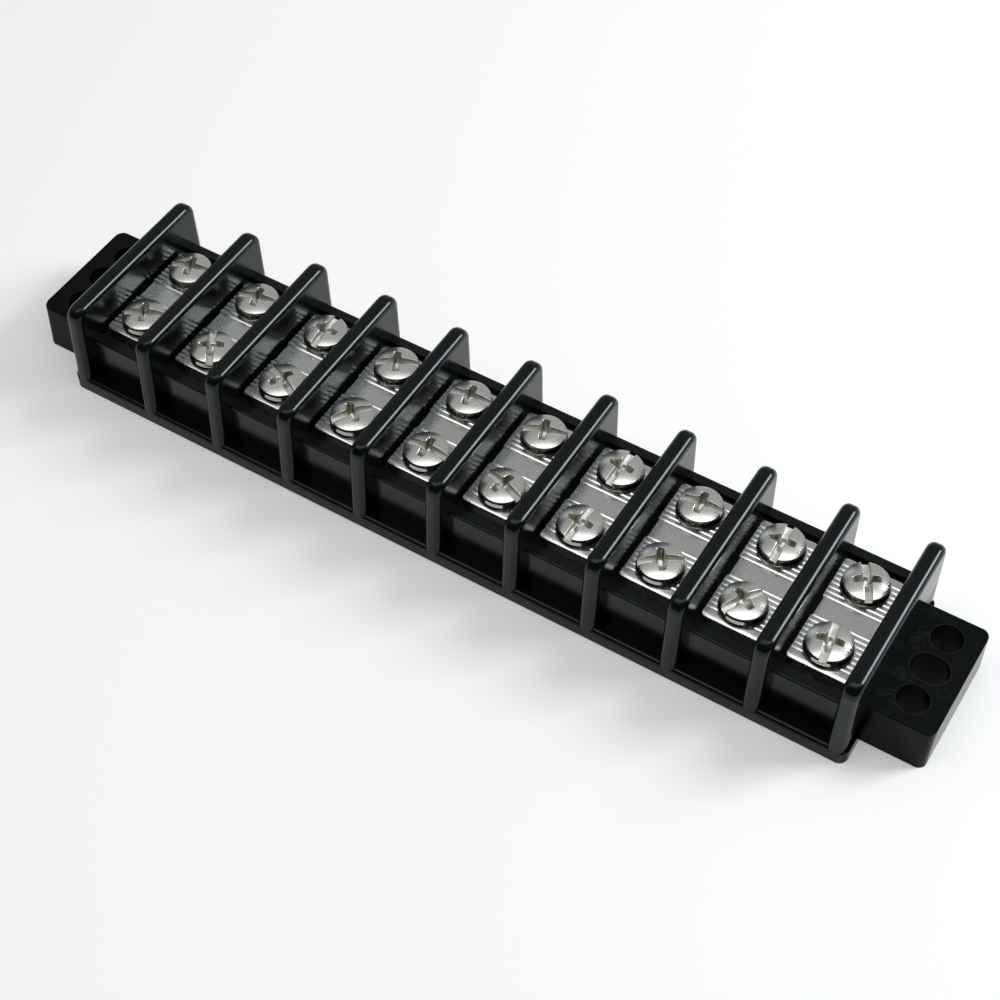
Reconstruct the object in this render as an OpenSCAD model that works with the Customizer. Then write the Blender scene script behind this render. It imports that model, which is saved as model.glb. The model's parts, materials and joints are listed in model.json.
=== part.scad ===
// Double-row barrier terminal strip: one moulding, a flat clamp plate per pole, two screws per plate.
// Frame: X along the row, Y across it with the front at -Y, Z up, origin in the middle of the underside.

/* [Row] */
// Number of poles in the row
poles = 10; // [2:1:10]
// Distance from one pole to the next
pitch = 14.29; // [13.2:0.01:18]

/* [Base strip] */
// Depth of the base strip across the row, at the underside
base_depth = 33.85; // [33:0.05:40]
// Thickness of the base strip
base_thick = 2.6; // [2:0.1:4.5]
// Radius of the base strip's long top edges
base_edge_r = 0.8; // [0.2:0.05:0.9]
// How far the base strip runs past the outer barriers
base_margin = 0.5; // [0.1:0.05:1]
// Draft of the front and rear faces, in degrees
draft = 2.45; // [0.5:0.05:3]

/* [Barriers] */
// Height of the barriers above the underside
barrier_height = 18.15; // [15.5:0.05:26]
// Thickness of a barrier
barrier_thick = 3; // [2.6:0.1:3.4]
// Radius of a barrier's top corners, seen from its side
barrier_corner_r = 2.35; // [1.4:0.05:4]
// Radius of the round edge that runs up both ends of a barrier and over its top
barrier_edge_r = 1.15; // [0.4:0.05:1.25]

/* [Rail] */
// Depth of the raised rail that carries the plates
rail_depth = 28; // [26.5:0.1:31]
// Height of the rail's rims above the underside
rail_height = 10.55; // [9.5:0.05:13]
// Depth of the recess that the plates lie in
recess_depth = 0.65; // [0.2:0.05:1.5]
// Radius of the rail's long top edges
rail_edge_r = 0.4; // [0.2:0.05:0.8]

/* [End flanges] */
// Length of a flange from the middle of the outer barrier to its end
flange_reach = 12.4; // [11:0.1:18]
// Depth of a flange across the row, at the underside
flange_depth = 22.8; // [20:0.1:26]
// Height of a flange
flange_height = 8.7; // [5:0.1:9.8]
// Radius of a flange's upright corners
flange_corner_r = 1.4; // [0.6:0.1:2]
// Radius of a flange's front and rear top edges
flange_edge_r = 0.3; // [0.1:0.05:0.8]
// Distance from the middle of the outer barrier to the line of mounting holes
hole_reach = 7; // [6.2:0.01:7.2]
// Diameter of the two round mounting holes in a flange
hole_d = 5.2; // [3.5:0.1:5.6]
// Distance between the two round mounting holes
hole_spacing = 12.7; // [12:0.1:13.5]
// Width of the slotted hole between them
slot_hole_width = 5.1; // [3.5:0.1:5.4]
// Length of the slotted hole, end to end
slot_hole_length = 6.3; // [5.7:0.1:7.2]

/* [Clamp plates] */
// Width of a plate along the row
plate_width = 10; // [9:0.1:10]
// Length of a plate across the row
plate_length = 21.2; // [21:0.1:22.6]
// Thickness of a plate
plate_thick = 1.3; // [1.1:0.05:1.8]
// Radius of the rolled front and rear ends, from above
plate_roll_r = 2.2; // [1.7:0.1:4]
// Length of a rolled end
plate_roll_length = 1.05; // [0.4:0.05:1.3]
// Radius of a plate's corners, seen from above
plate_corner_r = 0.5; // [0.3:0.05:1]
// Length of the smooth waist between the two ribbed pads
waist_length = 3.7; // [2:0.1:4.4]
// How far each side of the waist is drawn in
waist_neck = 0.3; // [0.1:0.05:0.6]
// Distance from one groove of the ribbed pads to the next
groove_pitch = 0.97; // [0.7:0.01:1.5]
// Width of a groove at the top
groove_width = 0.5; // [0.2:0.01:0.6]
// Depth of a groove
groove_depth = 0.13; // [0.08:0.01:0.3]
// Outer diameter of the threaded collars under a plate
collar_d = 6; // [5.4:0.1:6.6]
// Length of the collars below a plate
collar_length = 2.2; // [1:0.1:3]

/* [Screws] */
// Distance between the two screws of a plate
screw_spacing = 13; // [12.6:0.1:13.2]
// Diameter of a screw head
head_d = 7.8; // [7:0.1:8]
// Height of a screw head
head_height = 2.8; // [2.4:0.1:3.2]
// Height of the upright side of a head
head_side = 2; // [1:0.05:2.1]
// Bevel at the lower rim of a head
head_rim = 0.2; // [0.1:0.05:0.3]
// Diameter of the shank over its threads
shank_d = 4.1; // [3.6:0.1:4.3]
// Length of the shank below the head
shank_length = 7.9; // [5:0.1:8]
// Width of the driver slot
slot_width = 1.2; // [0.9:0.05:1.4]
// Depth of the driver slot below the crown of the head
slot_depth = 1.5; // [1.1:0.05:1.7]
// Span of the cross recess at the crown
cross_span = 4.4; // [3.8:0.1:4.8]
// Width of one wing of the cross recess
cross_wing = 1.1; // [0.8:0.05:1.3]
// Depth of the cross recess below the crown
cross_depth = 2.1; // [1.75:0.05:2.3]

/* [Clearances] */
// Gap between a plate's ends and the rims of the recess
plate_gap = 1.55; // [0.3:0.05:1.6]
// Radial gap between a shank and the bore of its plate
shank_gap = 0.05; // [0.02:0.01:0.1]
// Radial gap between a collar and its well in the rail
collar_gap = 0.05; // [0.02:0.01:0.1]
// Radial gap between a shank and the narrow part of its well
well_gap = 0.3; // [0.15:0.05:0.6]
// Free depth below a screw that is driven home
tip_gap = 0.7; // [0.3:0.1:1.2]

/* [Hidden] */
$fn = 96;
// Slot direction of each screw from the left, in degrees about Z: every screw stopped at its own turn
front_turns = [25, 120, 156, 53, 2, 165, 87, 34, 58, 99];
rear_turns = [16, 14, 90, 28, 8, 19, 87, 6, 94, 120];
// A pole's number as two digits
function two_digits(n) = n < 10 ? str("0", n) : str(n);
plate_names = [for (n = [1:poles]) str("clamp_plate_", two_digits(n))];
front_screw_names = [for (n = [1:poles]) str("front_screw_", two_digits(n))];
rear_screw_names = [for (n = [1:poles]) str("rear_screw_", two_digits(n))];

// Overlap that makes a cut run clear of a face
eps = 1;
// How far a drafted face leans in over one millimetre of height
lean = tan(draft);
base_corner_r = barrier_edge_r + base_margin;
row_length = poles * pitch;
base_length = row_length + barrier_thick + 2 * base_margin;
recess_floor = rail_height - recess_depth;
plate_top = recess_floor + plate_thick;
well_bottom = plate_top - shank_length - tip_gap;
recess_half = plate_length / 2 + plate_gap;
roll_start = plate_length / 2 - plate_roll_length;
groove_count = floor((roll_start - waist_length / 2 - groove_width) / groove_pitch) + 1;
head_r = head_d / 2;
crown_rise = head_height - head_side;
crown_edge_r = head_r - head_rim;
crown_r = (pow(crown_edge_r, 2) + pow(crown_rise, 2)) / (2 * crown_rise);
// How far the outline that rounds a slab's upright corners stands outside its long faces
lap = 0.05;

// Span of the cross recess where its cutter ends above the crown
cross_top_span = cross_span * (1 + eps / cross_depth / 2);

// The middle of pole n, counted from 1 at the left
function pole_x(n) = (n - (poles + 1) / 2) * pitch;

// Rectangle centred on the origin with four round corners
module rounded_rectangle(size, r) {
    square([size.x - 2 * r, size.y], center = true);
    square([size.x, size.y - 2 * r], center = true);
    for (x = [-1, 1], y = [-1, 1])
        translate([x * (size.x / 2 - r), y * (size.y / 2 - r)])
            circle(r);
}

// Slot of the given overall length along X, with round ends
module slotted_outline(length, width) {
    square([length - width, width], center = true);
    for (x = [-1, 1])
        translate([x * (length - width) / 2, 0])
            circle(d = width);
}

// Upright outline standing on the X axis with its two top corners rounded
module round_topped(width, height, r) {
    translate([-width / 2, 0])
        square([width, height - r]);
    translate([r - width / 2, 0])
        square([width - 2 * r, height]);
    for (side = [-1, 1])
        translate([side * (width / 2 - r), height - r])
            circle(r);
}

// Upright outline with sides that lean in by the draft and two top corners of radius r
module drafted_outline(foot_width, height, r) {
    centre_x = foot_width / 2 - lean * (height - r) - r / cos(draft);
    touch_x = centre_x + r * cos(draft);
    touch_z = height - r + r * sin(draft);
    polygon([
        [-foot_width / 2, 0],
        [foot_width / 2, 0],
        [touch_x, touch_z],
        [centre_x, height],
        [-centre_x, height],
        [-touch_x, touch_z]
    ]);
    for (side = [-1, 1])
        translate([side * centre_x, height - r])
            circle(r);
}

// Carries an outline drawn in X and height into the XZ plane and makes it depth deep along Y
module extrude_across(depth) {
    translate([0, depth / 2, 0])
        rotate([90, 0, 0])
            linear_extrude(depth)
                children();
}

// Carries an outline drawn in Y and height into the YZ plane and makes it length long along X
module extrude_along(length) {
    translate([-length / 2, 0, 0])
        rotate([90, 0, 90])
            linear_extrude(length)
                children();
}

// Slab on the underside: its long faces lean in by the draft, its upright corners are round
module drafted_slab(length, depth, height, corner_r, edge_r) {
    intersection() {
        extrude_along(length + 2 * eps)
            drafted_outline(depth, height, edge_r);
        translate([0, 0, -eps])
            linear_extrude(height + 2 * eps)
                rounded_rectangle([length, depth + 2 * lap], corner_r);
    }
}

// Raised rail with a shallow recess between its front and rear rims
module rail() {
    difference() {
        extrude_along(row_length)
            round_topped(rail_depth, rail_height, rail_edge_r);
        translate([-row_length / 2 - eps, -recess_half, recess_floor])
            cube([row_length + 2 * eps, 2 * recess_half, recess_depth + eps]);
    }
}

// Outer edge of a barrier in section, from the line of its corner centres outwards along Y
module edge_section() {
    translate([-barrier_thick / 2, 0])
        square([barrier_thick, barrier_corner_r - barrier_edge_r]);
    translate([barrier_edge_r - barrier_thick / 2, 0])
        square([barrier_thick - 2 * barrier_edge_r, barrier_corner_r]);
    for (side = [-1, 1])
        translate([side * (barrier_thick / 2 - barrier_edge_r), barrier_corner_r - barrier_edge_r])
            circle(barrier_edge_r);
}

// One barrier: a flat core with the same round edge carried up one end, over the top and down the other
module barrier() {
    centre_z = barrier_height - barrier_corner_r;
    centre_y = base_depth / 2 - lean * centre_z - barrier_corner_r / cos(draft);
    foot_y = centre_y + lean * centre_z;
    end_length = (centre_z - base_thick / 2) / cos(draft);
    extrude_along(barrier_thick)
        polygon([[-foot_y, 0], [foot_y, 0], [centre_y, centre_z], [-centre_y, centre_z]]);
    translate([0, 0, centre_z])
        extrude_across(2 * centre_y)
            edge_section();
    for (turn = [0, 180])
        rotate([0, 0, turn])
            translate([0, centre_y, centre_z]) {
                rotate([0, -90, 0])
                    rotate_extrude(angle = 90 - draft)
                        rotate([0, 0, -90])
                            edge_section();
                rotate([draft, 0, 0])
                    translate([0, 0, -end_length])
                        linear_extrude(end_length)
                            edge_section();
            }
}

// End flange on the right, its root inside the outer barrier
module flange() {
    root = barrier_thick / 3;
    translate([(row_length + flange_reach - root) / 2, 0, 0])
        drafted_slab(flange_reach + root, flange_depth, flange_height, flange_corner_r, flange_edge_r);
}

// Three mounting holes of the right flange, in a line across the row
module flange_holes() {
    translate([row_length / 2 + hole_reach, 0, -eps]) {
        for (side = [-1, 1])
            translate([0, side * hole_spacing / 2, 0])
                cylinder(h = flange_height + 2 * eps, d = hole_d);
        linear_extrude(flange_height + 2 * eps)
            slotted_outline(slot_hole_length, slot_hole_width);
    }
}

// Stepped well for one collar and the shank that runs on below it
module screw_well() {
    translate([0, 0, well_bottom])
        cylinder(h = recess_floor + eps - well_bottom, d = shank_d + 2 * well_gap);
    translate([0, 0, recess_floor - collar_length - collar_gap])
        cylinder(h = collar_length + collar_gap + eps, d = collar_d + 2 * collar_gap);
}

// Black moulding: base strip, rail, barriers and both flanges in one piece
module moulded_body() {
    color([0.03, 0.03, 0.035])
        difference() {
            union() {
                drafted_slab(base_length, base_depth, base_thick, base_corner_r, base_edge_r);
                rail();
                for (n = [0:poles])
                    translate([(n - poles / 2) * pitch, 0, 0])
                        barrier();
                flange();
                mirror([1, 0, 0])
                    flange();
            }
            flange_holes();
            mirror([1, 0, 0])
                flange_holes();
            for (n = [1:poles], side = [-1, 1])
                translate([pole_x(n), side * screw_spacing / 2, 0])
                    screw_well();
        }
}

// Plate seen from above: two pads with round corners and a waist that is drawn in
module plate_outline() {
    pad_length = (plate_length - waist_length) / 2;
    for (side = [-1, 1])
        translate([0, side * (plate_length - pad_length) / 2])
            rounded_rectangle([plate_width, pad_length], plate_corner_r);
    square([plate_width - 2 * waist_neck, waist_length + 2 * plate_corner_r], center = true);
}

// Plate seen from the side: two rolled ends and a row of grooves on each pad
module plate_section() {
    difference() {
        intersection() {
            translate([-plate_length / 2, 0])
                square([plate_length, plate_thick]);
            union() {
                translate([-roll_start, 0])
                    square([2 * roll_start, plate_thick]);
                for (side = [-1, 1])
                    translate([side * roll_start, plate_thick - plate_roll_r])
                        circle(plate_roll_r);
            }
        }
        for (side = [-1, 1], n = [0:groove_count - 1])
            translate([side * (waist_length / 2 + groove_width / 2 + n * groove_pitch), plate_thick])
                polygon([
                    [-groove_width / 2, eps],
                    [-groove_width / 2, 0],
                    [0, -groove_depth],
                    [groove_width / 2, 0],
                    [groove_width / 2, eps]
                ]);
    }
}

// Flat clamp plate with a threaded collar under each screw
module clamp_plate(n) {
    color([0.78, 0.77, 0.74])
        translate([pole_x(n), 0, recess_floor])
            difference() {
                union() {
                    intersection() {
                        extrude_along(plate_width + 2 * eps)
                            plate_section();
                        translate([0, 0, -eps])
                            linear_extrude(plate_thick + 2 * eps)
                                plate_outline();
                    }
                    for (side = [-1, 1])
                        translate([0, side * screw_spacing / 2, -collar_length])
                            cylinder(h = collar_length + plate_thick / 2, d = collar_d);
                }
                for (side = [-1, 1])
                    translate([0, side * screw_spacing / 2, -collar_length - eps])
                        cylinder(h = collar_length + plate_thick + 2 * eps, d = shank_d + 2 * shank_gap);
            }
}

// Head with its seat at height 0: beveled rim, upright side and a crown that is part of a ball
module screw_head() {
    intersection() {
        rotate_extrude()
            polygon([
                [0, 0],
                [head_r - head_rim, 0],
                [head_r, head_rim],
                [head_r, head_side - head_rim],
                [crown_edge_r, head_side],
                [crown_edge_r, head_height + eps],
                [0, head_height + eps]
            ]);
        translate([0, 0, head_height - crown_r])
            sphere(crown_r);
    }
}

// Shank over its threads, from inside the head down to its beveled point
module screw_shank() {
    point = shank_d / 8;
    rotate_extrude()
        polygon([
            [0, head_side / 2],
            [shank_d / 2, head_side / 2],
            [shank_d / 2, point - shank_length],
            [shank_d / 2 - point, -shank_length],
            [0, -shank_length]
        ]);
}

// Cross recess that narrows downwards
module cross_recess() {
    intersection() {
        translate([0, 0, head_height - cross_depth])
            cylinder(h = cross_depth + eps, d1 = cross_span / 2, d2 = cross_top_span);
        union() {
            cube([2 * head_d, cross_wing, 4 * head_height], center = true);
            cube([cross_wing, 2 * head_d, 4 * head_height], center = true);
        }
    }
}

// Binding-head screw driven home, its slot at the given turn about Z
module screw(n, side, turn) {
    color([0.8, 0.78, 0.74])
        translate([pole_x(n), side * screw_spacing / 2, plate_top])
            rotate([0, 0, turn])
                difference() {
                    union() {
                        screw_head();
                        screw_shank();
                    }
                    translate([-head_d, -slot_width / 2, head_height - slot_depth])
                        cube([2 * head_d, slot_width, slot_depth + eps]);
                    cross_recess();
                }
}

moulded_body();
for (n = [1:poles]) {
    clamp_plate(n);
    screw(n, -1, front_turns[n - 1]);
    screw(n, 1, rear_turns[n - 1]);
}
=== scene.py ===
# %% [markdown]
# # A barrier terminal strip, dressed for a product picture
# The strip is one black moulding with eleven barriers, ten nickel-plated clamp plates and twenty
# screws. The solid model of all of it is already there, with its joints, and is loaded as a fixed
# frame. This lesson gives each piece its finish, makes the screws again with their fine forms, and
# sets up the camera and the light.
# Everything is in metres, in the frame's own axes: X along the row, Y across it, Z up.

# %% Load the frame
import json
import math

import bpy
import numpy as np
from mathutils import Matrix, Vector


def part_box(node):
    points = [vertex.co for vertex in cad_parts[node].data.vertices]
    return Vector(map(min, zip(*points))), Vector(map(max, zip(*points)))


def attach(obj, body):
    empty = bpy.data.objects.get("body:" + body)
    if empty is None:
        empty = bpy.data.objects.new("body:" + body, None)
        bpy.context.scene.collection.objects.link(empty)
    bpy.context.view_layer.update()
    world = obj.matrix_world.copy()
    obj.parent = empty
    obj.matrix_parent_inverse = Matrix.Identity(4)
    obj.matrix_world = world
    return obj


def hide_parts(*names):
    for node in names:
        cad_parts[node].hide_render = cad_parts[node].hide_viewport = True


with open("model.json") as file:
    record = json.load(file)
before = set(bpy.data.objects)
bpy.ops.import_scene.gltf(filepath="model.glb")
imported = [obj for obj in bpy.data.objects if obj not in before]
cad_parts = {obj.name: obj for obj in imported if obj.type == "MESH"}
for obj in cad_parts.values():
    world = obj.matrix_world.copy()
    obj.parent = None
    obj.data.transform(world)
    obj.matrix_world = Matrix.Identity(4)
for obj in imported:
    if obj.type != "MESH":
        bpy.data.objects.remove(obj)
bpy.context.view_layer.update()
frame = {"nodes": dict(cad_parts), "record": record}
MM = 0.001

# %% [markdown]
# ## Where things are
# No place is typed in twice. The solids know where they are, so the script asks them: the box of a
# plate gives the middle of its pole and the height that the screw heads sit on, and the box of a
# screw gives its axis. If the source of the solids changes, the dressing follows.

# %% Measure the solids
plate_names = sorted(n for n in frame["nodes"] if n.startswith("clamp_plate_"))
screw_names = sorted(n for n in frame["nodes"] if "_screw_" in n)
plate_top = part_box(plate_names[0])[1].z
screw_low, screw_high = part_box(screw_names[0])


def corners(node):
    """The vertices of a solid as rows of x, y, z in millimetres."""
    mesh = frame["nodes"][node].data
    flat = np.empty(len(mesh.vertices) * 3, np.float32)
    mesh.vertices.foreach_get("co", flat)
    return flat.reshape(-1, 3) / MM


holes = next(m["dims"] for m in frame["record"]["mounts"] if m["name"] == "mounting_holes")
HOLE_X, HOLE_Y, HOLE_R = holes["spacing_x_mm"] / 2, holes["spacing_y_mm"] / 2, holes["hole_r_mm"]
body_corners = corners("moulded_body")
FLANGE_TOP = float(body_corners[np.abs(body_corners[:, 0]) > HOLE_X, 2].max())
print(len(plate_names), "plates,", len(screw_names), "screws")
print("flange top at", round(FLANGE_TOP, 2), "mm")

# %% [markdown]
# ## Shader maths as plain expressions
# A material is a graph of nodes. Wiring every addition and product by hand hides the idea, so a
# small class wraps one socket and lets Python's operators make the Math nodes: `1 - mask * 0.3`
# reads like what it does. Colours must not pass through Math nodes, which would turn them grey, so
# they are blended with a Mix node instead.

# %% Wrap a socket
class Wire:
    """One output of a shader node. An operator on it, with a wire or a number, is a Math node."""

    def __init__(self, graph, socket):
        self.graph, self.socket = graph, socket

    def math(self, operation, *others):
        inputs = dict(enumerate((self,) + others))
        return self.graph.node("ShaderNodeMath", {"operation": operation}, inputs)

    def __add__(self, other):
        return self.math("ADD", other)

    def __sub__(self, other):
        return self.math("SUBTRACT", other)

    def __mul__(self, other):
        return self.math("MULTIPLY", other)

    def __rsub__(self, other):
        return self.graph.node("ShaderNodeMath", {"operation": "SUBTRACT"}, {0: other, 1: self})

    __radd__ = __add__
    __rmul__ = __mul__

    def size(self):
        return self.math("ABSOLUTE")

    def reach(self, other):
        """Distance from the origin of the point whose coordinates are the two wires."""
        return (self * self + other * other).math("SQRT")

    def rise(self, start, end):
        """0 below start, 1 above end and a smooth climb between them."""
        settings = {"interpolation_type": "SMOOTHSTEP"}
        return self.graph.node("ShaderNodeMapRange", settings, {0: self, 1: start, 2: end})


print("a wire knows:", [name for name in vars(Wire) if not name.startswith("__")])

# %% [markdown]
# A finish is one material. Its `node` method is the only place where nodes are made: settings come
# first, because they can change which sockets a node has, and then values or wires go into the
# sockets. Patterns read object coordinates. Every object sits at the origin with its place in its
# mesh, so these coordinates are metres in the frame, and a scale of 1000 gives a cell a millimetre.

# %% Make graphs and materials
class Graph:
    """A node tree that starts empty."""

    def __init__(self, owner):
        owner.use_nodes = True
        self.tree = owner.node_tree
        self.tree.nodes.clear()

    def node(self, kind, settings={}, sockets={}, output=0):
        """A new node with its settings, then its sockets' values or wires. Returns one output."""
        made = self.tree.nodes.new(kind)
        for key, value in settings.items():
            setattr(made, key, value)
        for key, value in sockets.items():
            if isinstance(value, Wire):
                self.tree.links.new(value.socket, made.inputs[key])
            else:
                made.inputs[key].default_value = value
        return Wire(self, made.outputs[output]) if made.outputs else None

    def parts(self, vector):
        """The three components of a vector."""
        first = self.node("ShaderNodeSeparateXYZ", {}, {0: vector})
        return [Wire(self, socket) for socket in first.socket.node.outputs]


class Finish(Graph):
    """A node material."""

    def __init__(self, name):
        self.material = bpy.data.materials.new(name)
        super().__init__(self.material)
        self.place = self.node("ShaderNodeTexCoord", output="Object")

    def axes(self):
        """The three object coordinates in millimetres."""
        return [part * (1 / MM) for part in self.parts(self.place)]

    def stretched(self, x, y, z):
        """The place, scaled to so many cells per millimetre along each axis."""
        sockets = {"Vector": self.place, "Scale": (x / MM, y / MM, z / MM)}
        return self.node("ShaderNodeMapping", {}, sockets)

    def noise(self, place, detail=2.0, roughness=0.5):
        """Soft clouds from 0 to 1, one cell per unit of place."""
        sockets = {"Vector": place, "Scale": 1.0, "Detail": detail, "Roughness": roughness}
        return self.node("ShaderNodeTexNoise", {}, sockets)

    def blend(self, mask, low, high):
        """Colour low where mask is 0 and high where it is 1."""
        settings = {"data_type": "RGBA"}
        return self.node("ShaderNodeMix", settings, {0: mask, 6: low, 7: high}, output=2)

    def relief(self, height, depth_mm):
        """Bump from a height of 0 to 1 that stands for so many millimetres."""
        sockets = {"Height": height, "Distance": depth_mm * MM, "Strength": 1.0}
        return self.node("ShaderNodeBump", {}, sockets)

    def surface(self, **sockets):
        """A Principled surface from its sockets' names, with _ for a space."""
        named = {name.replace("_", " "): value for name, value in sockets.items()}
        return self.node("ShaderNodeBsdfPrincipled", {}, named)

    def show(self, surface):
        """Makes this surface the one that the material has."""
        self.node("ShaderNodeOutputMaterial", {}, {"Surface": surface})

    def put_on(self, *objects):
        for o in objects:
            o.data.materials.clear()
            o.data.materials.append(self.material)


def show_object(name, data):
    """An object at the origin that shows a mesh, a lamp or a camera."""
    made = bpy.data.objects.new(name, data)
    bpy.context.scene.collection.objects.link(made)
    return made


print("a finish knows:", [name for name in vars(Finish) if not name.startswith("__")])

# %% [markdown]
# ## The black moulding
# Phenolic and glass-filled moulding compound is nearly black and glossy straight from a polished
# tool. What shows it is never its colour but what it mirrors, so a low base colour, a plain
# dielectric reflection and a very shallow bump do most of the work.
# The flanges are duller. The top of each one has four round marks that the tool's ejector pins
# left, a faint worn line round every hole, and dust near the barrier. All of these are drawn from
# distances: the absolute value folds the two flanges into one, and a hole is a distance to an axis.

# %% Distances on the moulding
# All in millimetres, and those along X from the line of the fastening holes
SLOT_STRETCH = 0.6  # half the straight part of the slotted hole
BARRIER_X = 5.5  # from the holes in to the outer barrier's face
PIN_X, PIN_Y, PIN_R = 3.5, 3.2, 0.95  # middle and radius of an ejector mark

black = Finish("black_moulding")
x, y, z = black.axes()
aside = x.size() - HOLE_X
slot_side = (aside.size() - SLOT_STRETCH).math("MAXIMUM", 0)
to_hole = aside.reach(y.size() - HOLE_Y).math("MINIMUM", slot_side.reach(y))
to_pin = (aside.size() - PIN_X).reach(y.size() - PIN_Y)
flange = aside.rise(-BARRIER_X - 0.2, -BARRIER_X)
flange = flange * (1 - z.rise(FLANGE_TOP + 0.05, FLANGE_TOP + 0.3))
flange_top = flange * z.rise(FLANGE_TOP - 0.3, FLANGE_TOP - 0.1)
bore = 1 - to_hole.rise(HOLE_R + 0.05, HOLE_R + 0.2)
bore = bore * aside.rise(-BARRIER_X, -BARRIER_X + 1)
print("hole radius", round(HOLE_R, 2), "mm, ejector mark radius", PIN_R, "mm")

# %% Marks and dust
DRIFTS, SPECKS = (0.48, 0.60), (0.62, 0.70)  # bands of noise in which dust begins and is full
DUST_END = (-3.2, 0.5)  # dust thins out between these, on the way out from the barrier

ripple = black.noise(black.stretched(0.25, 0.25, 0.25), detail=1.0)
grain = black.noise(black.stretched(6, 6, 6), detail=1.0)
worn_rim = to_hole.rise(HOLE_R - 0.1, HOLE_R) - to_hole.rise(HOLE_R + 0.05, HOLE_R + 0.25)
pin_edge = to_pin.rise(PIN_R - 0.15, PIN_R) - to_pin.rise(PIN_R, PIN_R + 0.2)
drifts = black.noise(black.stretched(0.45, 0.45, 0.45), detail=1.0).rise(*DRIFTS)
dust = grain.rise(*SPECKS) * drifts * flange_top * (1 - aside.rise(*DUST_END))
marks = flange_top * worn_rim * (0.03 + grain * 0.10) + flange_top * pin_edge * (grain * 0.16)
pale = marks + dust * 0.8
print("marks and dust ready")

# %% Black moulding
DEEP, LESS_DEEP = (0.0020, 0.0026, 0.0027, 1), (0.0036, 0.0046, 0.0048, 1)
WORN = (0.080, 0.088, 0.086, 1)
COOL = (0.86, 0.98, 0.98, 1)
GLOSSY_IOR, DULL_IOR = 1.37, 1.18

black_sockets = {
    "Base_Color": black.blend(pale, black.blend(grain, DEEP, LESS_DEEP), WORN),
    "Roughness": 0.14 + grain * 0.06 + ripple * 0.05 + flange_top * 0.10 + bore * 0.3,
    "Normal": black.relief(ripple * 0.8, 0.02),
    "Specular_Tint": COOL,
}
glossy = black.surface(IOR=GLOSSY_IOR, **black_sockets)
dull = black.surface(IOR=DULL_IOR, **black_sockets)
dulled = flange * (1 - grain * flange_top * 0.3)
black.show(black.node("ShaderNodeMixShader", {}, {0: dulled, 1: glossy, 2: dull}))
print("moulding finish ready")

# %% [markdown]
# ### Corners of the flanges
# The flanges' long sides lean, and the solid's upright corners lose most of their roundness on the
# way up. So the moulding is shown by a copy of the solid's own mesh with new corners. On the old
# corner a point has a share: 0 where it leaves the end, 1 where it meets the leaning side. The same
# share of a quarter turn gives its place on the new corner, an arc that keeps its radius:
# `x = centre + R cos(90 share)`, `y = centre(z) + (side(z) - centre(z)) sin(90 share)`.
# First, the old corners have to be found. Their faces look outwards from an upright axis near the
# corner, and they are small: the flat end reaches from one corner to the other.

# %% Find the old corners
CORNER_R = 1.4
NEAR = 0.001  # millimetres that still count as the same place
OUTWARDS = 0.999  # the least cosine between a corner face's normal and the way from the axis


def solid_normals(mesh):
    """One normal a vertex: the solid's vertices are split where its faces meet."""
    corner_normals = np.array([n.vector for n in mesh.corner_normals])
    owner = np.array([loop.vertex_index for loop in mesh.loops])
    normals = np.zeros((len(mesh.vertices), 3))
    normals[owner] = corner_normals
    return normals


solid = frame["nodes"]["moulded_body"].data
body_normals = solid_normals(solid)
triangles = np.array([p.vertices[:] for p in solid.polygons])
folded = np.abs(body_corners)
end_x = folded[:, 0].max()
old_y = folded[folded[:, 0] > end_x - NEAR, 1].max()
axis_x = end_x - CORNER_R
here = (folded[:, 0] > axis_x) & (folded[:, 1] > old_y - NEAR)
old_turn = np.arctan2(np.maximum(folded[:, 1] - old_y, 0), folded[:, 0] - axis_x)
radial = np.stack([np.cos(old_turn), np.sin(old_turn)], axis=1)
outwards = np.sum(np.abs(body_normals[:, :2]) * radial, axis=1)
small = np.ptp(body_corners[triangles][:, :, 1], axis=1) < 2 * CORNER_R
old_faces = (here & (outwards > OUTWARDS))[triangles].all(axis=1) & small
print("old corner faces:", int(old_faces.sum()))

# %% [markdown]
# Every point of the old corners is at one of a few heights. For each height the solid says where
# the leaning side is, and how far round the old corner got, so the points' shares follow.

# %% Place points on the new corner
heights = np.unique(np.round(body_corners[here, 2], 3))
level = np.abs(body_corners[:, None, 2] - heights[None, :]).argmin(axis=1)
on_level = [here & (level == k) for k in range(len(heights))]
side_y = np.array([folded[those, 1].max() for those in on_level])
most = np.array([old_turn[those].max() for those in on_level])
axis_y = np.interp(heights, heights[[0, -1]], side_y[[0, -1]] - CORNER_R)
share = np.round(np.clip(old_turn / most[level], 0, 1), 4)


def on_corner(share, k):
    """x and y on the new corner: an arc round its axis that meets the side's place at height k."""
    turn = share * math.pi / 2
    y = axis_y[k] + (side_y[k] - axis_y[k]) * np.sin(turn)
    return np.stack(np.broadcast_arrays(axis_x + CORNER_R * np.cos(turn), y), axis=-1)


moved = body_corners.copy()
moved[here, :2] = np.sign(body_corners[here, :2]) * on_corner(share[here], level[here])
print("points moved:", int(here.sum()), "at", len(heights), "heights")

# %% [markdown]
# A grid then takes the place of the old faces. Its columns are all the shares that the top and
# bottom borders have. A column that a border lacks is put on the straight line between that
# border's own points, so that no gap opens between the grid and the faces beside it.

# %% Grid for a new corner
MOST_LEAN = 5

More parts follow.
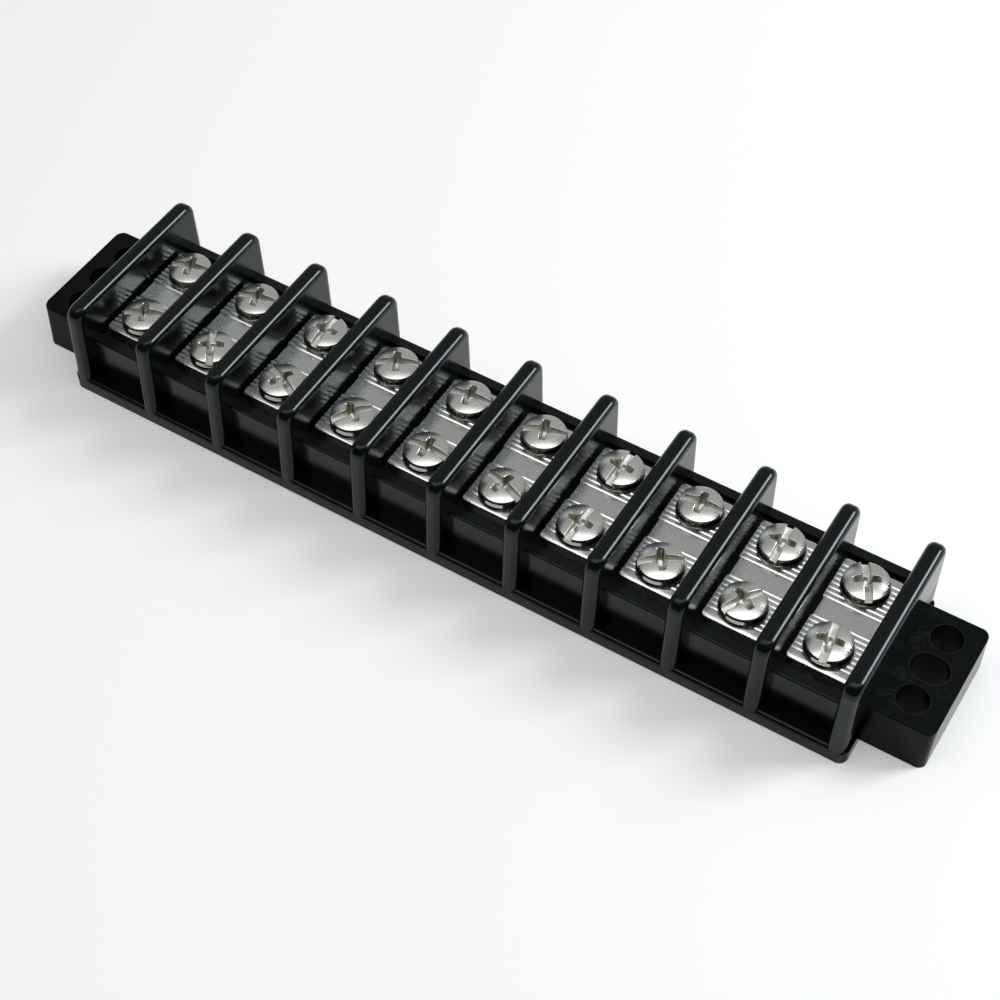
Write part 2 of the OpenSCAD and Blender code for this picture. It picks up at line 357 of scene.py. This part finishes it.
borders = [np.unique(share[on_level[k]]) for k in (0, -1)]
columns = np.unique(np.concatenate(borders))
grid = on_corner(columns[None, :], np.arange(len(heights))[:, None])
for row, known in zip((0, -1), borders):
    grid[row] = np.stack([np.interp(columns, known, c) for c in on_corner(known, row).T], axis=1)
turn = np.broadcast_to(columns * math.pi / 2, grid.shape[:2])
lean = np.clip(-np.gradient(side_y, heights), 0, MOST_LEAN)[:, None] * np.sin(turn)
facing = np.stack([np.cos(turn), np.sin(turn), lean], axis=-1)
facing /= np.linalg.norm(facing, axis=-1, keepdims=True)
corner = np.dstack([grid, np.broadcast_to(heights[:, None], grid.shape[:2])])


def grid_faces(number):
    """The four-sided faces between neighbours in a grid of point numbers."""
    four = [number[:-1, :-1], number[:-1, 1:], number[1:, 1:], number[1:, :-1]]
    return np.stack(four, axis=-1).reshape(-1, 4)


quads = grid_faces(np.arange(corner[..., 0].size).reshape(corner.shape[:2]))
print("new corner faces:", 4 * len(quads))

# %% [markdown]
# The grid is mirrored to the four corners. One mirror turns a face inside out, and two turn it
# back, so only the corners with one mirror have their faces' order reversed. The solid's triangles
# are loose, so points in the same place become one, while every face keeps its own normals.

# %% Show the moulding
def merged(points, faces, normals):
    """Makes points in the same place one point. Each face keeps its own normals at its corners."""
    rounded = np.round(points, 3)
    _, first, same = np.unique(rounded, axis=0, return_index=True, return_inverse=True)
    same = same.reshape(-1)
    kept = [[v for k, v in enumerate(face) if same[v] != same[face[k - 1]]] for face in faces]
    kept = [face for face in kept if len(face) > 2]
    return points[first], [same[face].tolist() for face in kept], normals[np.concatenate(kept)]


points, normals, faces = [moved], [body_normals], triangles[~old_faces].tolist()
for mirror in [(1, 1, 1), (-1, 1, 1), (-1, -1, 1), (1, -1, 1)]:
    own = quads if mirror[0] * mirror[1] > 0 else quads[:, ::-1]
    faces += (own + sum(map(len, points))).tolist()
    points.append(corner.reshape(-1, 3) * mirror)
    normals.append(facing.reshape(-1, 3) * mirror)
points, faces, normals = merged(np.concatenate(points), faces, np.concatenate(normals))

mesh = bpy.data.meshes.new("dressed_moulding")
mesh.from_pydata((points * MM).tolist(), [], faces)
mesh.shade_smooth()
mesh.normals_split_custom_set(normals.tolist())
moulding = show_object("dressed_moulding", mesh)
black.put_on(moulding)
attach(moulding, "strip")
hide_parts("moulded_body")
print("moulding:", len(mesh.vertices), "points,", len(mesh.polygons), "faces")

# %% [markdown]
# ## The clamp plates
# The plates are steel with a bright nickel coat. Rolling and stamping leave faint streaks along
# them, and nickel is a slightly warm grey that goes cooler where it is thin. Stretching a noise
# along one axis is enough for the streaks, since noise is stretched by scaling its coordinates
# less along that axis.

# %% Nickel plate
NICKEL, BRIGHT_NICKEL = (0.66, 0.69, 0.67, 1), (0.82, 0.84, 0.81, 1)

nickel = Finish("nickel_plate")
streaks = nickel.noise(nickel.stretched(0.8, 9, 9), detail=2.0, roughness=0.6)
clouds = nickel.noise(nickel.stretched(0.5, 0.5, 0.5), detail=1.0)
spangle = nickel.noise(nickel.stretched(3, 3, 3), detail=2.0, roughness=0.7).rise(0.35, 0.65)
nickel.show(nickel.surface(
    Base_Color=nickel.blend(clouds * 0.5 + spangle * 0.5, NICKEL, BRIGHT_NICKEL),
    Roughness=0.17 + streaks * 0.10 + spangle * 0.05,
    Normal=nickel.relief(streaks * 0.4 + clouds * 0.4 + spangle * 0.2, 0.005),
    Metallic=1.0,
))
nickel.put_on(*(frame["nodes"][n] for n in plate_names))
print(len(plate_names), "plates finished")

# %% [markdown]
# ## The screws
# Each screw has a shallow crown, a slot right across it and a cross recess over the slot, so that
# either driver fits. The solids carry those forms with sharp edges. Up close, the light on a
# plated screw lives on its soft edges: the rolled rim, the lips of the slot, the slopes of the
# recess. Cutting these with booleans and rounding them with bevels gives poor meshes, so the head
# is made as a height over a grid whose lines run along the slot and the recess walls.

# %% Sizes of the screw
# All in millimetres; heights are above the seat
HEAD_R = (screw_high.x - screw_low.x) / 2 / MM
SHANK_END = (screw_low.z - plate_top) / MM
CROWN_TOP, CROWN_R = 2.8, 8.96
TOP_R = HEAD_R - 0.24  # radius of the head just under the rim
RIM_R, BEAD_R = 0.1, 0.12  # roundness of the upper rim and of the foot
SLOT_HALF, SLOT_FLOOR = 0.6, 1.3
WING_HALF = 0.6
CONE_TIP, CONE_SLOPE = 0.45, 0.36  # the cone at the bottom of the recess
CONE_R, WING_SLOPE = 1.1, 1.19  # the steeper cone outside this radius
print("head radius", round(HEAD_R, 2), "mm, shank", round(-SHANK_END, 2), "mm")

# %% Grid for the crown
# Where the grid has lines, as distances from the axis: close together at the slot's wall, at the
# foot of the recess's slopes and where the wings end
WALL_ROWS = [0.2, 0.4, 0.53, 0.575, 0.6, 0.63, 0.67, 0.73, 0.8, 0.9, 1.0, 1.08, 1.14]
WING_ROWS = [1.24, 1.4, 1.58, 1.76, 1.92, 2.04, 2.12, 2.18, 2.24, 2.32, 2.45]
WALL_COLUMNS = [0.18, 0.34, 0.42, 0.5, 0.57, 0.6, 0.63, 0.67, 0.73, 0.8]
POLE_ROWS, OUTER_COLUMNS = 10, 17
POLE_FROM = 45  # degrees
NARROW_CHORD = 1.3  # half a chord, under which the columns beside the walls draw together


def mirrored(values):
    """The values with their negatives, sorted, and 0 in the middle."""
    values = np.asarray(values, float)
    return np.concatenate([-values[::-1], [0.0], values])


def crown_height(r):
    """Height of a ball of radius CROWN_R whose top is at CROWN_TOP, at distance r from the axis."""
    return CROWN_TOP - CROWN_R + np.sqrt(CROWN_R**2 - r**2)


# The rolled rim is an arc from the side, where its normal is level, to where it meets the crown
rim_turn = math.acos((TOP_R - RIM_R) / (CROWN_R - RIM_R))
CROWN_EDGE = TOP_R - RIM_R * (1 - math.cos(rim_turn))
SIDE_TOP = crown_height(CROWN_EDGE) - RIM_R * math.sin(rim_turn)
print("crown ends at", round(CROWN_EDGE, 3), "mm, side at", round(float(SIDE_TOP), 3), "mm")


def crown_grid():
    """Points over the disc of the crown, row by row: each row is a chord at a fixed y.

    y of a row: close together at the slot's walls, then equal steps of angle towards the pole.
    x in a row: columns beside the walls stay put, and the others share the rest of the chord.
    """
    pole = CROWN_EDGE * np.sin(np.radians(np.linspace(POLE_FROM, 90, POLE_ROWS)))
    rows = mirrored(np.concatenate([WALL_ROWS, WING_ROWS, pole]))
    share = np.linspace(0, 1, OUTER_COLUMNS + 1)[1:]
    chord = np.sqrt(np.maximum(CROWN_EDGE**2 - rows**2, 0.0))
    core = np.minimum(1.0, chord / NARROW_CHORD)[:, None] * mirrored(WALL_COLUMNS)[None, :]
    reach = core[:, -1:] + (chord[:, None] - core[:, -1:]) * share[None, :]
    x = np.concatenate([-reach[:, ::-1], core, reach], axis=1)
    return x, np.repeat(rows[:, None], x.shape[1], axis=1)


grid_x, grid_y = crown_grid()
print("crown grid", grid_x.shape)

# %% [markdown]
# The slot and the recess are cut by lowering the height: where a point is between two walls it
# drops to the floor. A ramp beside each wall makes the drop steep, and outside it a soft lip, where
# plating rounds the edge, catches the light. The recess has a shallow cone for its bottom and a
# steeper one round it, whose cut with the crown ends the wings in a curve. Where several cuts meet,
# the deepest counts: a sum of high powers does that with a soft edge, since the largest term wins.

# %% Cut the slot and the recess
LIP = [0.0, 0.03, 0.07, 0.13]  # distances from a wall's top
LIP_DROP = [0.07, 0.03, 0.01, 0.0]  # and the part of the cut's depth that the lip has there
STEEP_LEAN, WING_LEAN = 0.06, 0.22  # how far the slot's and the recess's walls lean inwards
STEEP_SHARE, LEANING_SHARE = 0.97, 0.3  # part of the depth that a wall has near its top
BLEND_POWER = 16
CORNER_CUT, CORNER_WIDTH, CORNER_DEPTH = 1.52, 0.42, 0.75  # the cut between two wings


def between_walls(distance, half, lean, near_top):
    """1 between the walls and 0 outside, with leaning walls and a soft lip outside them."""
    at = half + np.array([-lean, -lean / 4] + LIP)
    return np.interp(distance, at, [1.0, near_top] + LIP_DROP)


def in_slot(y):
    """The slot's part of its full depth at y."""
    return between_walls(np.abs(y), SLOT_HALF, STEEP_LEAN, STEEP_SHARE)


def in_wing(distance):
    """A wing's part of its full depth at a distance from the wing's middle."""
    return between_walls(np.abs(distance), WING_HALF, WING_LEAN, LEANING_SHARE)


def recess_depth(surface, r):
    """How far the two cones of the recess lie below the surface at radius r."""
    floor = CONE_TIP + CONE_SLOPE * r + WING_SLOPE * np.maximum(r - CONE_R, 0)
    return np.maximum(surface - floor, 0)


def cuts(surface, x, y):
    """Depth of the slot along X and depth of the cross recess below a surface of heights."""
    full = recess_depth(surface, np.hypot(x, y))
    slot = in_slot(y) * np.maximum(surface - SLOT_FLOOR, 0)
    corner = np.clip((CORNER_CUT - np.abs(x) - np.abs(y)) / CORNER_WIDTH, 0, 1)
    parts = [in_wing(x) * full, in_wing(y) * full, corner * CORNER_DEPTH * full]
    return slot, np.maximum.reduce(parts)


def cut(surface, x, y):
    """Lowers the surface by the deeper cut, softly where one takes over from the other."""
    slot, recess = cuts(surface, x, y)
    return surface - (slot**BLEND_POWER + recess**BLEND_POWER) ** (1 / BLEND_POWER)


crown_z = cut(crown_height(np.hypot(grid_x, grid_y)), grid_x, grid_y)
print("lowest point of the recess:", round(float(crown_z.min()), 2), "mm above the seat")

# %% [markdown]
# Outside the crown the head is a profile carried round the axis: rolled rim, side, rounded foot,
# underside. Its points start from the ends of the grid's rows, so both parts share one edge loop.
# Near the slot a point keeps its distance from the slot's middle while it moves outwards, and so
# the slot runs through the rim with straight walls. The side flares out a little on its way down.

# %% Side of the head
# The side from the rim down, as (distance outside TOP_R, height): upright, a flare, upright
SIDE = [(0, 1.66), (0, 1.42), (0.03, 1.36), (0.19, 0.98), (0.22, 0.9), (0.22, 0.5), (0.22, 0.24)]
BEAD_TURNS = [50, 20, -10, -40, -70, -90]  # degrees above level, round the foot
UNDERSIDE = [3.0, 2.3]  # radii
HELD, LOOSE = 0.7, 1.7  # a point keeps its y up to here, and is free after so much more


def head_loops(edge_x, edge_y):
    """Loops of points from the rim down to the neck, as (x, y, z) arrays.

    Each loop has a radius and a height. A point's y grows with the radius away from the slot and
    stays put beside it, and its x is what the circle of that radius leaves.
    """
    rim = np.linspace(rim_turn, 0, 7)[1:]
    bead = np.radians(BEAD_TURNS)
    outside, down = np.array(SIDE).T
    radii = np.concatenate([
        TOP_R - RIM_R * (1 - np.cos(rim)), TOP_R + outside,
        HEAD_R - BEAD_R * (1 - np.cos(bead)), UNDERSIDE])
    heights = np.concatenate([
        SIDE_TOP + RIM_R * np.sin(rim), down,
        BEAD_R * (1 + np.sin(bead)), np.zeros(len(UNDERSIDE))])
    freedom = np.clip((np.abs(edge_y) - HELD) / LOOSE, 0, 1)
    freedom = freedom * freedom * (3 - 2 * freedom)
    loops = []
    for radius, height in zip(radii, heights):
        y = edge_y * (1 + freedom * (radius / CROWN_EDGE - 1))
        x = np.sign(edge_x) * np.sqrt(np.maximum(radius**2 - y**2, 0))
        z = np.full(len(x), float(height))
        loops.append((x, y, z - in_slot(y) * np.maximum(z - SLOT_FLOOR, 0)))
    return loops


print("side of the head:", len(SIDE), "loops between rim and foot")

# %% [markdown]
# The shank follows the same way, with a radius that depends on the angle and the height together,
# which makes a helix: a screw thread.

# %% Threaded shank
THREAD_PITCH, THREAD_DEPTH, SHANK_R = 0.794, 0.32, 2.05
ROOT, FLANK = 1.25, 2.5  # height and slope of the groove's wave before it is cut off at 0 and 1
SHANK_LOOPS, NECK = 66, -0.05
RUN_IN = (0.2, 0.6)  # the groove starts this far under the head and is full after so much more
POINT_LENGTH, POINT_SLOPE = 0.6, 0.85


def shank_loops(angle):
    """Loops of the threaded shank.

    The radius is the crest less a groove: a wave with sloping flanks and a flat root, of the height
    in pitches plus the angle in turns. It fades out under the head, and the end tapers to a point.
    """
    loops = []
    for height in np.linspace(NECK, SHANK_END, SHANK_LOOPS):
        phase = np.mod(height / THREAD_PITCH + angle / (2 * math.pi), 1.0)
        groove = THREAD_DEPTH * np.clip(ROOT - FLANK * np.abs(phase - 0.5), 0, 1)
        start = min(1.0, max(0.0, (-height - RUN_IN[0]) / RUN_IN[1]))
        taper = max(0.0, (SHANK_END + POINT_LENGTH - height)) * POINT_SLOPE
        radius = SHANK_R - np.maximum(groove * start, taper)
        loops.append((radius * np.cos(angle), radius * np.sin(angle), np.full(len(angle), height)))
    return loops


print("thread:", round(-SHANK_END / THREAD_PITCH, 1), "turns")

# %% [markdown]
# Three numbers a vertex say where light and shade are painted on the screw: painted shade in the
# recess and along the tops of the slot's walls, how dull the slot's floor is and so how much
# painted highlight it gets, and 1 on the turned side of the head, which gets painted shade.

# %% Painted shade and dullness of the crown
WALL_MIDDLE, WALL_REACH = 0.0125, 0.02  # how far inside SLOT_HALF the wall's middle is; its reach
BRIGHT_R, BRIGHT_MOST = 1.35, 0.65  # the bottom of the recess gets less painted shade inside this radius
RECESS_FULL, SLOT_FULL = 0.5, 0.3  # a cut deeper than the other by this has all of its painted shade (recess) or dullness and painted highlight (slot)


def crown_shade_and_dullness(x, y):
    """Painted shade, and dullness with its painted highlight, over the crown."""
    slot, recess = cuts(crown_height(np.hypot(x, y)), x, y)
    # Painted shade: a thin dark line just inside the top of each slot wall, and the recess darker
    # where it is deeper than the slot, less so at its bottom.
    off_wall = np.abs(np.abs(y) + WALL_MIDDLE - SLOT_HALF)
    wall = np.clip(2 - off_wall / WALL_REACH, 0, 1) * (slot > WALL_REACH)
    bottom = np.clip(BRIGHT_R - np.hypot(x, y), 0, BRIGHT_MOST)
    recess_shade = np.maximum(np.clip((recess - slot) / RECESS_FULL, 0, 1) * (1 - bottom), wall)
    return recess_shade, in_slot(y) * np.clip((slot - recess) / SLOT_FULL, 0, 1)


print("most tarnish on the crown:", round(float(crown_shade_and_dullness(grid_x, grid_y)[0].max()), 2))

# %% [markdown]
# The mesh starts with the crown's grid and adds one loop after another. A skin of four-sided faces
# joins a loop to the next. The shank has half as many points as the head, so three-sided faces lead
# over, and a fan closes the end.

# %% Build the screw mesh
def skin(upper, lower):
    """Four-sided faces between two loops of point numbers."""
    return np.stack([upper, lower, np.roll(lower, -1), np.roll(upper, -1)], axis=1)


def rim_of(number):
    """The point numbers round a grid whose first and last rows are one point each."""
    sides = [number[1:-1, -1], number[-1:, 0], number[-2:0:-1, 0], number[:1, 0]]
    return np.concatenate(sides)


def screw_mesh():
    """Vertices, faces and the masks of painted light and dullness of a screw that stands on the
    origin with its slot along X.
    """
    number = np.arange(grid_x.size).reshape(grid_x.shape)
    number[0, :], number[-1, :] = number[0, 0], number[-1, 0]
    ring, count = rim_of(number), grid_x.size
    points = [np.stack([grid_x.ravel(), grid_y.ravel(), crown_z.ravel()], axis=1)]
    faces = [grid_faces(number)]
    for loop in head_loops(points[0][ring, 0], points[0][ring, 1]):
        points.append(np.stack(loop, axis=1))
        below = np.arange(len(ring)) + count
        faces.append(skin(ring, below))
        ring, count = below, count + len(below)

    even, odd = ring[::2], ring[1::2]
    neck = points[-1][::2]
    half = np.arange(len(even)) + count
    faces.append(np.stack([even, half, odd, odd], axis=1))
    faces.append(np.stack([odd, half, np.roll(half, -1), np.roll(even, -1)], axis=1))
    for index, loop in enumerate(shank_loops(np.arctan2(neck[:, 1], neck[:, 0]))):
        points.append(np.stack(loop, axis=1))
        if index > 0:
            faces.append(skin(half, half + len(half)))
            half = half + len(half)
    tip = np.full(len(half), half[-1] + 1)
    points.append(np.array([[0.0, 0.0, SHANK_END]]))
    faces.append(np.stack([half, tip, np.roll(half, -1), np.roll(half, -1)], axis=1))

    points = np.concatenate(points)
    painted_light_and_dullness = np.zeros((len(points), 3), np.float32)
    painted_light_and_dullness[: grid_x.size, :2] = np.stack(crown_shade_and_dullness(grid_x.ravel(), grid_y.ravel()), axis=1)
    painted_light_and_dullness[grid_x.size:, 2] = 1.0
    return points, np.concatenate(faces), painted_light_and_dullness


def tidy(points, faces, painted_light_and_dullness):
    """Drops repeated corners and unused points: fans become triangles, and poles one point."""
    used, faces_flat = np.unique(faces, return_inverse=True)
    faces = faces_flat.reshape(faces.shape)
    corners = [list(dict.fromkeys(face)) for face in faces.tolist()]
    return points[used], [c for c in corners if len(c) > 2], painted_light_and_dullness[used]


screw_points, screw_faces, screw_painted_light_and_dullness = tidy(*screw_mesh())
print("one screw:", len(screw_points), "points,", len(screw_faces), "faces")

# %% [markdown]
# ## The screws' finish
# Nickel over steel again, but the heads are barrel-polished and so smoother than the plates. The
# recess and the tops of the slot's walls get a darker olive colour, which is painted shade; the
# slot's floor is dull and gets a paler colour, which is a painted highlight; the side of the head
# is smoother, so that it mirrors the plate's edge, but gets a dark colour, which is painted shade.
# The mesh says which is which in an attribute, and the finish reads it there.

# %% Screw finish
POLISHED, BRIGHT = (0.76, 0.755, 0.73, 1), (0.85, 0.84, 0.805, 1)
# On the next line the first colour is painted shade for the head's side, the second painted shade
# for the recess and the slot walls' tops, and the third a painted highlight for the slot's floor.
SHADED_SIDE, OLIVE_SHADE, FLOOR_HIGHLIGHT = (0.40, 0.39, 0.365, 1), (0.29, 0.27, 0.18, 1), (0.93, 0.93, 0.90, 1)

plated = Finish("plated_screw")
painted_light_and_dullness = plated.node("ShaderNodeAttribute", {"attribute_name": "painted_light_and_dullness"}, output="Vector")
recess_shade, dull_floor_and_highlight, side = plated.parts(painted_light_and_dullness)
cloud = plated.noise(plated.stretched(0.7, 0.7, 0.7), detail=3.0)
rub = plated.noise(plated.stretched(7, 7, 7), detail=3.0)
scuffs = plated.noise(plated.stretched(2.5, 2.5, 2.5), detail=2.0).rise(0.35, 0.65)
# Painted shade: the side of the head gets a dark colour, while its lower roughness keeps it
# mirror-like.
metal = plated.blend(side, plated.blend(cloud, POLISHED, BRIGHT), SHADED_SIDE)
# Painted shade: an olive, darker colour in the recess and along the tops of the slot's walls.
stained = plated.blend(recess_shade * (0.55 + scuffs * 0.45), metal, OLIVE_SHADE)
plated.show(plated.surface(
    # Painted highlight: the slot's floor gets a paler colour; its added roughness is its real
    # dullness.
    Base_Color=plated.blend(dull_floor_and_highlight, stained, FLOOR_HIGHLIGHT),
    Roughness=0.23 + rub * 0.07 + recess_shade * 0.15 + dull_floor_and_highlight * 0.35 - side * 0.10,
    Normal=plated.relief(rub * 0.4 + cloud * 0.6, 0.006),
    Metallic=1.0,
))
print("screw finish ready")

# %% [markdown]
# Each solid screw knows its own turn: the floor of its slot reaches the rim at two ends. The two
# ends point opposite ways, but doubling their angles makes them agree, so the mean is halved again.

# %% Place the screws
SHARP = 38  # degrees between two faces, above which their edge stays sharp
LEVEL_NEAR, END_SHARE = 0.01, 0.9


def seat(node):
    """The middle of a screw's seat on its plate."""
    low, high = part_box(node)
    return np.array([(low.x + high.x) / 2, (low.y + high.y) / 2, plate_top])


def slot_turn(node):
    """Direction of a screw's slot about Z, from its solid."""
    where = corners(node) - seat(node) / MM
    on_floor = np.abs(where[:, 2] - SLOT_FLOOR) < LEVEL_NEAR
    ends = on_floor & (np.hypot(where[:, 0], where[:, 1]) > END_SHARE * HEAD_R)
    doubled = 2 * np.arctan2(where[ends, 1], where[ends, 0])
    return math.atan2(np.sin(doubled).sum(), np.cos(doubled).sum()) / 2


def make_screw(node):
    """A dressed screw in place of the solid called node. Returns its turn in degrees."""
    turn = slot_turn(node)
    c, s = math.cos(turn), math.sin(turn)
    place = screw_points @ np.array([[c, s, 0], [-s, c, 0], [0, 0, 1]]) * MM + seat(node)
    mesh = bpy.data.meshes.new("dressed_" + node)
    mesh.from_pydata(place.tolist(), [], screw_faces)
    marks = mesh.attributes.new("painted_light_and_dullness", "FLOAT_VECTOR", "POINT")
    marks.data.foreach_set("vector", screw_painted_light_and_dullness.ravel())
    mesh.shade_smooth()
    mesh.set_sharp_from_angle(angle=math.radians(SHARP))
    screw = show_object("dressed_" + node, mesh)
    plated.put_on(screw)
    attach(screw, node + "_body")
    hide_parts(node)
    return math.degrees(turn)


turns = [make_screw(name) for name in screw_names]
print("slot directions:", [round(t) for t in turns])

# %% [markdown]
# ## Floor and background
# The object stands on a plain white sweep. The floor takes the soft shadow that seats the strip,
# and a little glow that only the camera and the mirror-like surfaces see lifts it to clean white,
# without putting more light on the object.

# %% Floor
SWEEP = 6.0
GLOW = 0.28

floor_mesh = bpy.data.meshes.new("studio_floor")
edge = [(-SWEEP, -SWEEP, 0), (SWEEP, -SWEEP, 0), (SWEEP, SWEEP, 0), (-SWEEP, SWEEP, 0)]
floor_mesh.from_pydata(edge, [], [(0, 1, 2, 3)])
floor = show_object("studio_floor", floor_mesh)
paper = Finish("studio_paper")
seen = 0
for kind in ("Is Camera Ray", "Is Glossy Ray", "Is Transmission Ray"):
    seen = paper.node("ShaderNodeLightPath", output=kind).math("MAXIMUM", seen)
paper.show(paper.surface(
    Base_Color=(0.82, 0.82, 0.82, 1),
    Roughness=0.9,
    Specular_IOR_Level=0.0,
    Emission_Color=seen * GLOW,
    Emission_Strength=1.0,
))
paper.put_on(floor)
print("floor:", 2 * SWEEP, "m wide")

# %% [markdown]
# ## Light
# A strip like this is lit to show its shape: a wide soft box overhead fills the lower half of each
# screw crown with white, a small bright one low on the right draws a line along every barrier, and
# the room around is a mid grey that the flat plates mirror. The room is darker on the camera's
# side and brighter on the far side, so that surfaces that face the camera stay deep.

# %% Lamps and room
OVERHEAD, OVERHEAD_SIZE = (0.0795, -0.130, 0.9883), (1.2, 0.312)
LOW_RIGHT, LOW_RIGHT_SIZE = (0.637, 0.529, 0.561), (0.28, 0.28)
COOL_LIGHT = (0.92, 0.97, 1.0)
FAR_X, FAR_Y = -0.522, 0.853  # the level direction away from the camera
ROOM_DARK, ROOM_CLIMB, ROOM_BAND = 0.06, 0.30, (-0.35, 0.25)


def soft_box(name, towards, distance, size, radiance):
    """A rectangular lamp that faces the object. Its power follows from radiance and size."""
    lamp = bpy.data.lights.new(name, "AREA")
    lamp.shape = "RECTANGLE"
    lamp.size, lamp.size_y = size
    lamp.energy = radiance * math.pi * size[0] * size[1]
    holder = show_object(name, lamp)
    direction = Vector(towards).normalized()
    holder.location = direction * distance
    holder.rotation_euler = direction.to_track_quat("Z", "Y").to_euler()
    return lamp


soft_box("overhead_box", OVERHEAD, 0.75, OVERHEAD_SIZE, 1.65)
soft_box("side_strip", LOW_RIGHT, 0.8, LOW_RIGHT_SIZE, 18.0).color = COOL_LIGHT

world = bpy.data.worlds.new("studio_room")
bpy.context.scene.world = world
room = Graph(world)
way_x, way_y = room.parts(room.node("ShaderNodeTexCoord", output="Generated"))[:2]
far_side = way_x * FAR_X + way_y * FAR_Y
wall = ROOM_DARK + far_side.rise(*ROOM_BAND) * ROOM_CLIMB
sky = room.node("ShaderNodeBackground", {}, {"Color": wall})
room.node("ShaderNodeOutputWorld", {}, {"Surface": sky})

# %% [markdown]
# ## Camera
# A long lens from the front right, looking down steeply: the row runs across the picture from the
# far left to the near right.

# %% Camera
AZIMUTH, ELEVATION, DISTANCE = math.radians(31.47), math.radians(51.68), 0.3264
TARGET = Vector((2.54, 0.33, -1.0)) * MM
LENS = 70.53

level_part = math.cos(ELEVATION)
back_off = Vector((
    math.sin(AZIMUTH) * level_part, -math.cos(AZIMUTH) * level_part, math.sin(ELEVATION)))
lens = bpy.data.cameras.new("camera")
lens.lens = LENS
lens.clip_start, lens.clip_end = 0.01, 20
camera = show_object("camera", lens)
camera.location = TARGET + back_off * DISTANCE
camera.rotation_euler = (-back_off).to_track_quat("-Z", "Y").to_euler()
bpy.context.scene.camera = camera
bpy.context.scene.view_settings.view_transform = "Standard"
print("camera at, mm:", [round(v / MM, 1) for v in camera.location])
